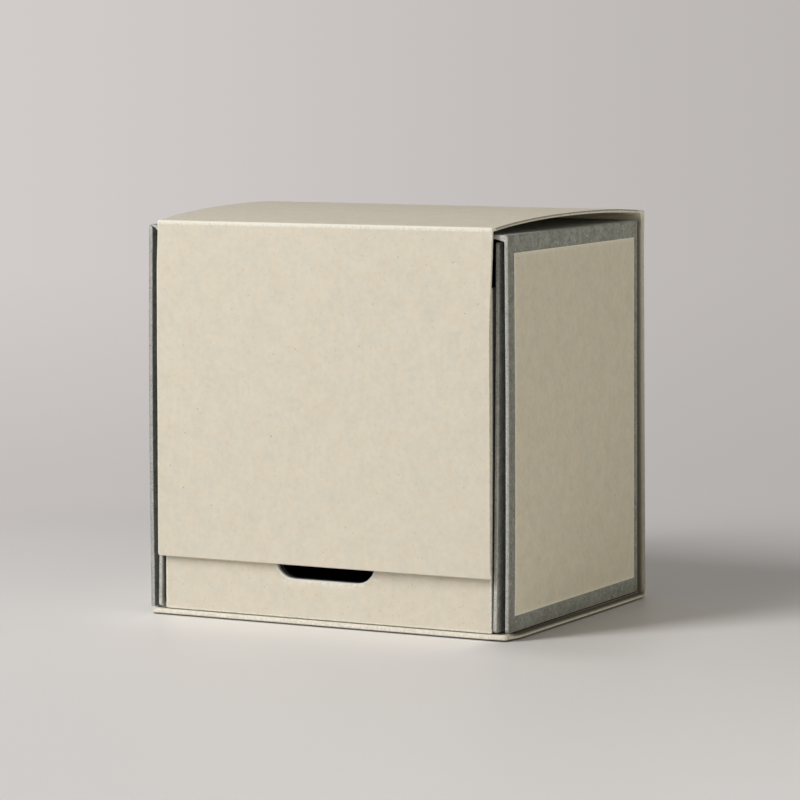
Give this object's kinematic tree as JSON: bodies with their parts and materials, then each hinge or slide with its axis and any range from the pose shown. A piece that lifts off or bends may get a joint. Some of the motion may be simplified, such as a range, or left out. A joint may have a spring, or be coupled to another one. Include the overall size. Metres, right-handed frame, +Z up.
{
  "type": "sliding drawer gift box",
  "caption": "Small rigid gift box: a grey board sleeve with a tall lined drawer and finger notch, inside a folded cream case with a bowed lid and a magnetic front flap.",
  "frame": {"origin": "on the table, under the middle of the box's bounding box", "axes": "+Z up, -Y out of the front where the drawer opens, +X to the right seen from the front"},
  "size_m": [0.1194, 0.095, 0.1196],
  "materials": {
    "cream_board": "matte uncoated recycled paper",
    "cream_lining": "matte paper",
    "cream_label": "matte uncoated recycled paper",
    "grey_board": "matte fibrous grey paper",
    "kraft_tape": "gummed paper tape",
    "adhesive_sheet": "coated on both sides with adhesive",
    "black_lining": "matte black paper",
    "magnet": "nickel plated",
    "steel": "plain steel disc"
  },
  "bodies": {
    "root": {"base_board": "cream_board", "back_board": "cream_board", "floor_sheet": "grey_board", "mounting_sheet": "adhesive_sheet", "sleeve_top": "grey_board", "sleeve_left_wall": "grey_board", "sleeve_right_wall": "grey_board", "sleeve_back_wall": "grey_board", "left_foot_tape": "kraft_tape", "right_foot_tape": "kraft_tape", "back_foot_tape": "kraft_tape", "left_corner_tape": "kraft_tape", "right_corner_tape": "kraft_tape", "top_corner_tape": "kraft_tape", "left_label": "cream_label", "right_label": "cream_label"},
    "lid": {"lid_panel": "cream_board", "lid_lining": "cream_lining"},
    "flap": {"front_flap": "cream_board", "flap_lining": "cream_lining", "flap_magnets": "magnet"},
    "drawer": {"drawer_floor": "grey_board", "drawer_left_wall": "grey_board", "drawer_right_wall": "grey_board", "drawer_back_wall": "grey_board", "drawer_front_board": "grey_board", "drawer_front_panel": "cream_board", "catch_discs": "steel", "floor_lining": "black_lining", "left_lining": "black_lining", "right_lining": "black_lining", "back_lining": "black_lining", "front_lining": "black_lining"}
  },
  "joints": [
    {"name": "lid_hinge", "type": "hinge", "parent": "root", "child": "lid", "pos_m": [0, 0.04752, 0.11785], "axis": [-1, 0, 0], "range_deg": [0, 150]},
    {"name": "flap_hinge", "type": "hinge", "parent": "lid", "child": "flap", "pos_m": [0, -0.04752, 0.11685], "axis": [-1, 0, 0], "range_deg": [0, 250]},
    {"name": "drawer_slide", "type": "slide", "parent": "root", "child": "drawer", "axis": [0, -1, 0], "range_m": [0, 0.062]}
  ],
  "couplings": [
    {"joint": "drawer_slide", "follows": "flap_hinge", "m_per_rad": 0.0142}
  ]
}
